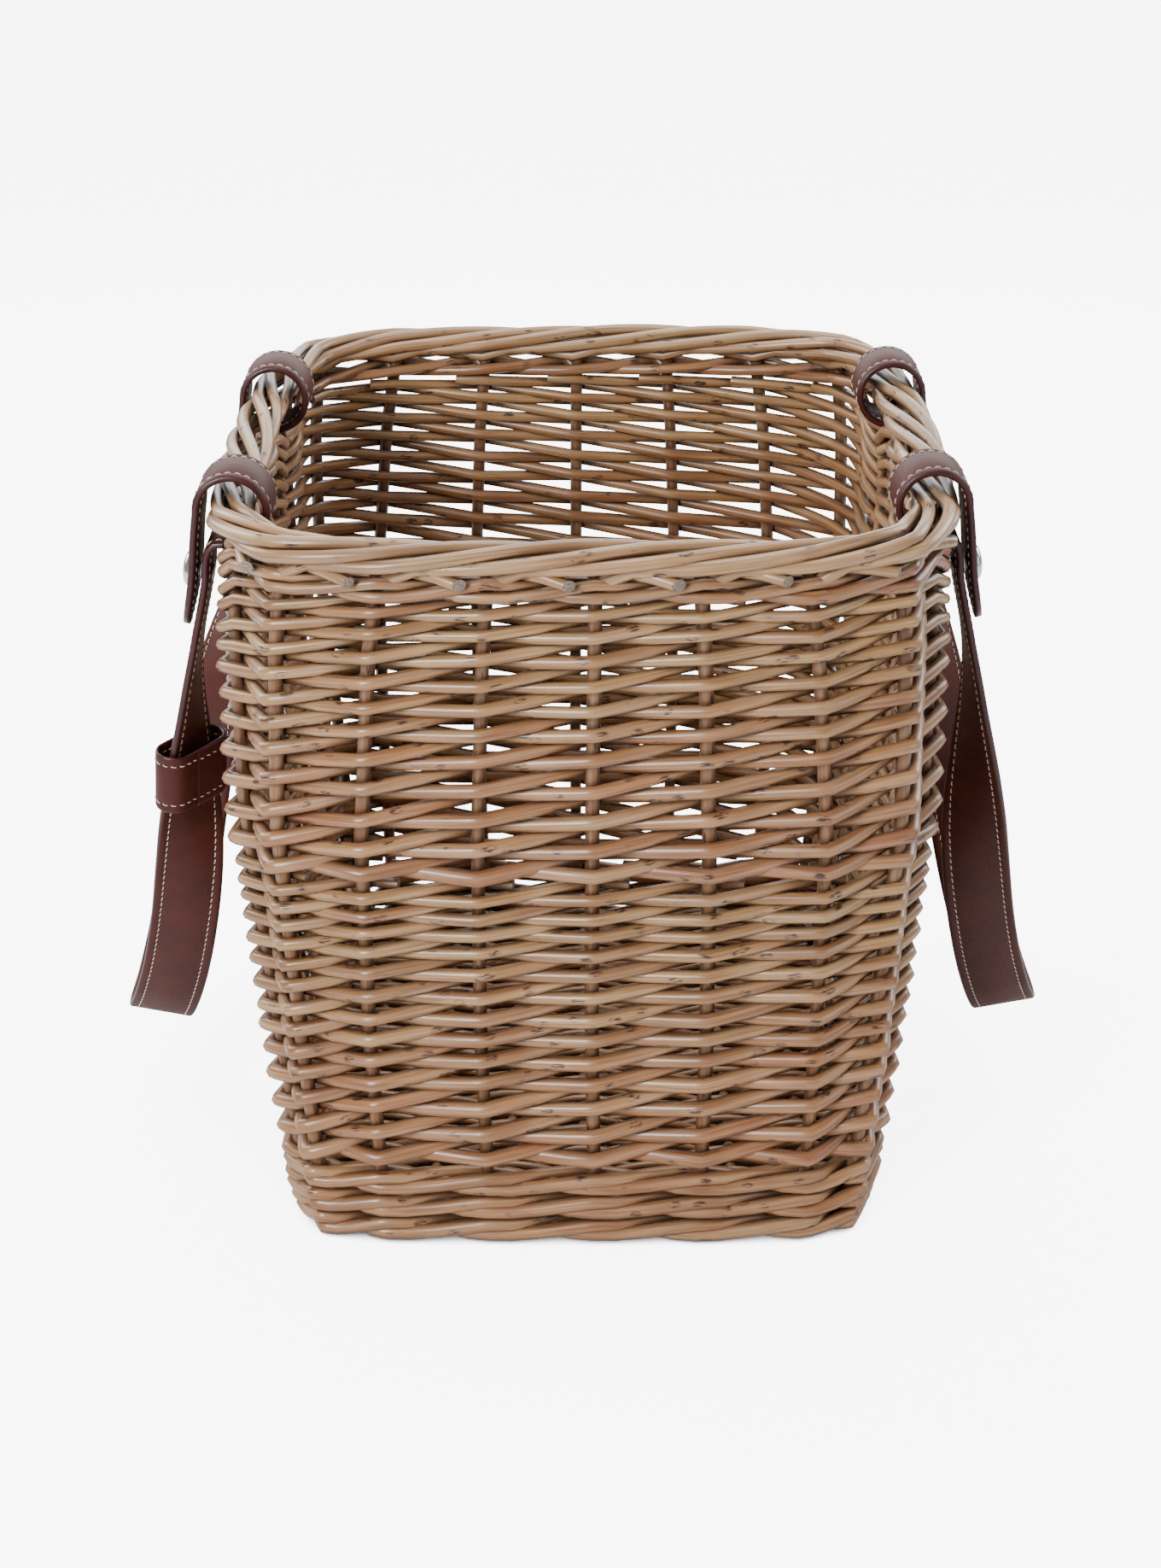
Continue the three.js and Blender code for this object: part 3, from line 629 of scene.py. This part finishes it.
def catmull(points, place):
    """A point of the centripetal Catmull-Rom curve through a list of points."""
    i = min(int(place), len(points) - 2)
    w = place - i
    x1, x2 = points[i], points[i + 1]
    x0 = points[i - 1] if i else 2 * x1 - x2
    x3 = points[i + 2] if i + 2 < len(points) else 2 * x2 - x1
    d0, d1, d2 = (max(np.linalg.norm(q - p), 1e-8) ** 0.5 for p, q in ((x0, x1), (x1, x2), (x2, x3)))
    t1 = ((x1 - x0) / d0 - (x2 - x0) / (d0 + d1) + (x2 - x1) / d1) * d1
    t2 = ((x2 - x1) / d1 - (x3 - x1) / (d1 + d2) + (x3 - x2) / d2) * d1
    return x1 + w * (t1 + w * (-3 * x1 + 3 * x2 - 2 * t1 - t2 + w * (2 * x1 - 2 * x2 + t1 + t2)))


def resampled(path, extra, spacing):
    """A path and a value along it, at even steps."""
    far = travelled(path)
    at = np.linspace(0, far[-1], max(2, round(far[-1] / spacing) + 1))
    return np.stack([np.interp(at, far, path[:, i]) for i in range(3)], axis=1), np.interp(at, far, extra)


def frames(path, across, closed=False):
    """Unit vectors along, across and square to a ribbon at each point of its path."""
    step = np.roll(path, -1, axis=0) - np.roll(path, 1, axis=0) if closed else np.gradient(path, axis=0)
    along = unit(step)
    across = unit(across - along * np.sum(across * along, axis=1, keepdims=True))
    return along, across, np.cross(along, across)


# Half of a strip's section, as [in from the edge, share of half the thickness].
SECTION = [(0, 0), (0.2, 0.5), (0.8, 0.86), (1.7, 1), (4.1, 1), (4.9, 0.8), (5.7, 1)]
STITCH_INSET, STITCH_PITCH, STITCH_LENGTH, THREAD_RADIUS = 4.9, 4.2, 2.5, 0.28
STITCH_MARGIN = 3  # left without stitches at the ends of a strip


def ribbon(mesh, path, across, half_width, thickness=STRAP_THICKNESS, closed=False):
    """A strip of leather with rounded, painted edges and a row of stitches near each."""
    _, across, face = frames(path, across, closed)
    half = np.broadcast_to(np.asarray(half_width, float), (len(path),))
    shrink = np.minimum(1, half / 7)
    outline = [(1, inset, share) for inset, share in SECTION]
    outline += [(-1, inset, share) for inset, share in reversed(SECTION)]
    outline += [(-1, inset, -share) for inset, share in SECTION[1:]]
    outline += [(1, inset, -share) for inset, share in reversed(SECTION[1:])]
    ring = []
    for sign, inset, share in outline:
        w = sign * (half - inset * shrink)
        ring.append(path + across * w[:, None] + face * (share * thickness / 2))
    points = np.stack(ring, axis=1)
    columns = len(outline)
    slots = [1 if max(outline[j][1], outline[(j + 1) % columns][1]) < 1.0 else 0 for j in range(columns)]
    rows = len(path)
    faces = grid_faces(rows, columns, closed)
    mesh.add(points, faces, slots * (rows if closed else rows - 1), (1, 1, 1), points)
    if not closed:
        mesh.add(points[0], [tuple(range(columns))], 1, smooth=False)
        mesh.add(points[-1], [tuple(reversed(range(columns)))], 1, smooth=False)
    stitches(mesh, path, across, face, half - STITCH_INSET * shrink, thickness, closed)


def stitches(mesh, path, across, face, reach, thickness, closed):
    """Two rows of saddle stitch, seen on both faces of the strip."""
    for edge in (1, -1):
        line = path + across * (edge * reach)[:, None]
        far = travelled(line)
        count = int((far[-1] - (0 if closed else STITCH_MARGIN)) / STITCH_PITCH)
        for side in (1, -1):
            surface = line + face * (side * (thickness / 2 - 0.12))
            for i in range(count):
                middle = (i + 0.5) * far[-1] / count
                at = middle + STITCH_LENGTH * np.array([-0.5, -0.36, 0, 0.36, 0.5])
                point, normal, skew = (
                    np.stack([np.interp(at, far, values[:, c]) for c in range(3)], axis=1)
                    for values in (surface, face, across)
                )
                point = point + normal * side * np.array([-0.35, 0.12, 0.3, 0.12, -0.35])[:, None]
                point = point + skew * np.array([-0.22, -0.16, 0, 0.16, 0.22])[:, None]
                rod(mesh, point, THREAD_RADIUS, (1, 1, 1), sides=5, ref=normal, slot=2)


def on_side(side, shift_y=0.0):
    sign = -1 if side == "left" else 1

    def place(points):
        moved = points + np.array([HINGE_X, 0, 0])
        moved = moved * np.array([sign, 1, 1]) + np.array([0, MIDDLE_Y[side] + shift_y, BORDER_Z])
        return moved, sign < 0

    return place


def on_loop(degrees, y):
    angle = math.radians(degrees)
    return np.array([LOOP_RADIUS * math.cos(angle), y, LOOP_RADIUS * math.sin(angle)])


front_half = [on_loop(LOOP_LEAVES_AT, -LOOP_HALF_SPACING) + np.array([GAP, 0, 0])]
front_half += [np.array(p, float) for p in STRAP_ROUTE]
LOWEST = STRAP_ROUTE[-1][2]
SPANS = 2 * (len(front_half) - 1)


def strap_points(side):
    back_half = []
    for x, y, z in reversed(front_half[:-1]):
        share = max(0, (z - BULGE_STARTS) / (LOWEST - BULGE_STARTS))
        back_half.append(np.array([x + BACK_BULGE[side] * math.sin(math.pi * share), -y, z]))
    return front_half + back_half


def strap_across(path):
    turned = smooth((-path[:, 2] + TWIST_STARTS) / (TWIST_STARTS - TWIST_ENDS))
    angle = turned * math.pi / 2
    sign = np.where(path[:, 1] < 0, -1, 1)
    return np.stack([np.sin(angle), sign * np.cos(angle), BOTTOM_TILT * np.sin(angle)], axis=1)


def strap_path(side):
    fine = np.array([catmull(strap_points(side), SPANS * i / 900) for i in range(901)])
    path, _ = resampled(fine, np.zeros(len(fine)), 4.5)
    return path


def frame_at(points, place, across_of):
    near = np.array([catmull(points, min(max(place + d, 0), len(points) - 1)) for d in (-0.01, 0, 0.01)])
    along, across, face = frames(near, across_of(near))
    return near[1], along[1], across[1], face[1]


LEATHERS = [LEATHER, LEATHER_EDGE, THREAD]


def flat_across(path):
    return np.tile([0.0, 1.0, 0.0], (len(path), 1))


TAB_POINTS = [np.array([x, 0.0, z]) for x, z, _ in TAB_ROUTE]


# A line across the leather where the loop meets the tab: the loop lies before its start, but for the part
# next to the tab, and the tab past its end. loop_and_tab works out where its ends fall but uses them for
# nothing.
BEND_LINE = [[LOOP_RADIUS - 0.9, 0, 0], [LOOP_RADIUS + 3.7, 0, -2.65]]


def loop_and_tab(name, side, shift):
    """The end of the strap: round the border and down outside, in one piece."""
    turn = np.radians(np.arange(360 + LOOP_LEAVES_AT - 1.0, 0, -6))
    ring = LOOP_RADIUS * np.stack([np.cos(turn), np.zeros_like(turn), np.sin(turn)], axis=1)
    places = np.linspace(0, len(TAB_POINTS) - 1, 60)
    tail = np.array([catmull(TAB_POINTS, p) for p in places])
    widths = np.interp(places, range(len(TAB_ROUTE)), [w for _, _, w in TAB_ROUTE])
    path = np.concatenate([ring, tail])
    half = np.concatenate([np.full(len(ring), STRAP_WIDTH / 2), widths])
    path, half = resampled(path, half, 1.6)
    mesh = Mesh()
    ribbon(mesh, path, flat_across(path), half)
    place = on_side(side, shift)
    made = mesh.build(f"{name}_end", LEATHERS, place)
    ends = place(np.array(BEND_LINE))[0] * 0.001
    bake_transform(made)
    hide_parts(f"{name}_loop", f"{name}_tab")


TURNED_SIDES = 40


def turned_metal(name, outline, frame_, side, shift, body, replaced):
    """A piece of revolution standing on the outer face of the leather."""
    point, _, _, face = frame_
    outward = face * np.sign(face[0])
    u = unit(np.cross(outward, [0, 1.0, 0.2]))
    v = np.cross(outward, u)
    angle = np.arange(TURNED_SIDES) * 2 * math.pi / TURNED_SIDES
    mesh = Mesh()
    circle = np.cos(angle)[:, None] * u + np.sin(angle)[:, None] * v
    rings = [point + outward * h + r * circle for r, h in outline]
    mesh.add(np.concatenate(rings), [f[::-1] for f in grid_faces(len(outline), TURNED_SIDES)])
    made = mesh.build(name, [STEEL], on_side(side, shift))
    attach(made, body)
    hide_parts(replaced)


# Outlines of a stud's cap and of its post, as [radius, height above the middle of the leather].
FACE = STRAP_THICKNESS / 2 + 0.02
CAP = [(0.02, -FACE - 0.8), (4.6, -FACE - 0.8), (5, -FACE - 0.5), (5, -FACE), (2.5, -FACE), (2.5, FACE)]
CAP += [(9.4, FACE), (9.75, FACE + 0.25), (9.75, FACE + 0.7), (9.4, FACE + 1.0), (8.9, FACE + 1.15)]
DOME = np.radians(range(10, 90, 8))
CAP += [(8.9 * math.cos(a), FACE + 1.15 + 3.2 * math.sin(a)) for a in DOME]
CAP += [(0.02, FACE + 4.35)]
POST = [(0.02, -FACE - 0.9), (4.1, -FACE - 0.9), (4.5, -FACE - 0.6), (4.5, -FACE), (2.5, -FACE), (2.5, FACE)]
POST += [(4.5, FACE), (4.5, FACE + 0.7), (4.2, FACE + 1.0), (0.02, FACE + 1.0)]

for side in ("left", "right"):
    mesh = Mesh()
    path = strap_path(side)
    ribbon(mesh, path, strap_across(path), STRAP_WIDTH / 2)
    made = mesh.build(f"{side}_strap_leather", LEATHERS, on_side(side))
    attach(made, f"{side}_handle")
    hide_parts(f"{side}_strap")
    for end, sign in (("front", -1), ("back", 1)):
        name, shift = f"{side}_{end}", sign * LOOP_HALF_SPACING
        loop_and_tab(name, side, shift)
        tab_frame = frame_at(TAB_POINTS, 2, flat_across)
        turned_metal(f"{name}_stud", CAP, tab_frame, side, shift, f"{name}_tab", f"{name}_stud_cap")
        post_frame = frame_at(strap_points(side), 4 if sign < 0 else SPANS - 4, strap_across)
        turned_metal(f"{name}_stud_rivet", POST, post_frame, side, 0.0, f"{side}_handle", f"{name}_stud_post")

# ---- The wrap that slides on the left strap ----


def stadium(width, depth, count):
    """A closed path: two straight sides joined by half circles."""
    straight, radius = (width - depth) / 2, depth / 2
    share = np.arange(count) / count
    angle = math.pi * (share - 0.5)
    side = np.stack([straight * (2 * share - 1), np.full(count, -radius)], axis=1)
    end = np.stack([straight + radius * np.cos(angle), radius * np.sin(angle)], axis=1)
    return np.concatenate([side, end, -side, -end])


def wrap():
    point, along, across, face = frame_at(strap_points("left"), WRAP_PLACE, strap_across)
    front, inward = -face * np.sign(face[1]), -across * np.sign(across[0])
    mesh = Mesh()
    flat = stadium(WRAP_WIDTH - WRAP_LEATHER, WRAP_DEPTH - WRAP_LEATHER, 14)
    path = point + flat[:, :1] * across + flat[:, 1:] * face
    ribbon(mesh, path, np.tile(along, (len(path), 1)), WRAP_HEIGHT / 2, WRAP_LEATHER, True)
    # Its free end lies over the half of the front that is nearer the basket.
    straight, radius = (WRAP_WIDTH - WRAP_DEPTH) / 2, WRAP_DEPTH / 2 + FLAP_LEATHER / 2
    angle = np.linspace(math.pi / 2, -math.pi / 2, 18)
    u = np.concatenate([np.linspace(FLAP_ENDS, straight, 8)[:-1], straight + radius * np.cos(angle), [0]])
    v = np.concatenate([np.full(7, radius), radius * np.sin(angle), [-radius]])
    path = point + u[:, None] * inward + v[:, None] * front
    path, _ = resampled(path, u, 1.6)
    ribbon(mesh, path, np.tile(along, (len(path), 1)), WRAP_HEIGHT / 2 - 0.2, FLAP_LEATHER)
    made = mesh.build("wrap_leather", LEATHERS, on_side("left"))
    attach(made, "wrap")
    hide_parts("handle_wrap")


wrap()

# ---- Camera, floor and light ----

BACKGROUND = 7.2  # brightness of the paper as the camera sees it
AMBIENT = 0.25

camera = bpy.data.cameras.new("camera")
camera.lens, camera.sensor_width = 58.52, 36
camera_object = bpy.data.objects.new("camera", camera)
camera_object.location = (-0.0017, -1.3001, 0.7876)
camera_object.rotation_euler = (math.radians(90 - 24.94), 0, 0)
bpy.context.scene.collection.objects.link(camera_object)
bpy.context.scene.camera = camera_object

floor_data = bpy.data.meshes.new("floor")
floor_data.from_pydata([(-6, -6, 0), (6, -6, 0), (6, 6, 0), (-6, 6, 0)], [], [(0, 1, 2, 3)])
floor = bpy.data.objects.new("floor", floor_data)
bpy.context.scene.collection.objects.link(floor)
floor_look, floor_tree, floor_shader = material("floor_paper", 0.9)
floor_shader.inputs["Base Color"].default_value = (0.8, 0.8, 0.8, 1)
floor_shader.inputs["Emission Color"].default_value = (1, 1, 1, 1)
seen = node(floor_tree, "ShaderNodeLightPath")
# Painted shadow: ambient occlusion dims the floor's glow under and around the basket, a contact shadow
# painted into the floor.
painted_shadow_ao = node(floor_tree, "ShaderNodeAmbientOcclusion", samples=8, Distance=0.3)
glow_with_painted_shadow = node(floor_tree, "ShaderNodeMath", operation="MULTIPLY")
floor_tree.links.new(ramp(floor_tree, seen.outputs["Is Camera Ray"], 0, 1, 0.0, BACKGROUND), glow_with_painted_shadow.inputs[0])
floor_tree.links.new(ramp(floor_tree, painted_shadow_ao.outputs["AO"], 0.1, 0.5), glow_with_painted_shadow.inputs[1])
floor_tree.links.new(glow_with_painted_shadow.outputs[0], floor_shader.inputs["Emission Strength"])
floor_data.materials.append(floor_look)

world = bpy.data.worlds.new("studio")
world.use_nodes = True
sky = world.node_tree.nodes["Background"]
sky.inputs["Color"].default_value = (1, 1, 1, 1)
seen = node(world.node_tree, "ShaderNodeLightPath")
world.node_tree.links.new(
    ramp(world.node_tree, seen.outputs["Is Camera Ray"], 0, 1, AMBIENT, BACKGROUND), sky.inputs["Strength"]
)
bpy.context.scene.world = world


def softbox(name, place, target, size, power):
    data = bpy.data.lights.new(name, "AREA")
    data.shape, data.size, data.size_y, data.energy = "RECTANGLE", size[0], size[1], power
    lamp = bpy.data.objects.new(name, data)
    lamp.location = place
    lamp.rotation_euler = (Vector(target) - Vector(place)).to_track_quat("-Z", "Y").to_euler()
    lamp.visible_camera = False
    bpy.context.scene.collection.objects.link(lamp)


softbox("key", (-1.0, -1.5, 1.15), (0, 0, 0.2), (0.6, 0.8), 41)
softbox("fill", (1.6, -1.2, 0.9), (0, 0, 0.2), (1.2, 1.2), 9)
softbox("top", (0.0, 0.4, 2.0), (0, 0, 0.2), (1.3, 1.3), 24)
softbox("backdrop", (0, 2.0, 1.0), (0, 0, 0.35), (2.6, 1.0), 26)
softbox("left_back", (-1.3, 0.7, 1.0), (0, 0, 0.3), (0.7, 1.0), 18)
softbox("right_back", (1.3, 0.7, 1.0), (0, 0, 0.3), (0.7, 1.0), 14)
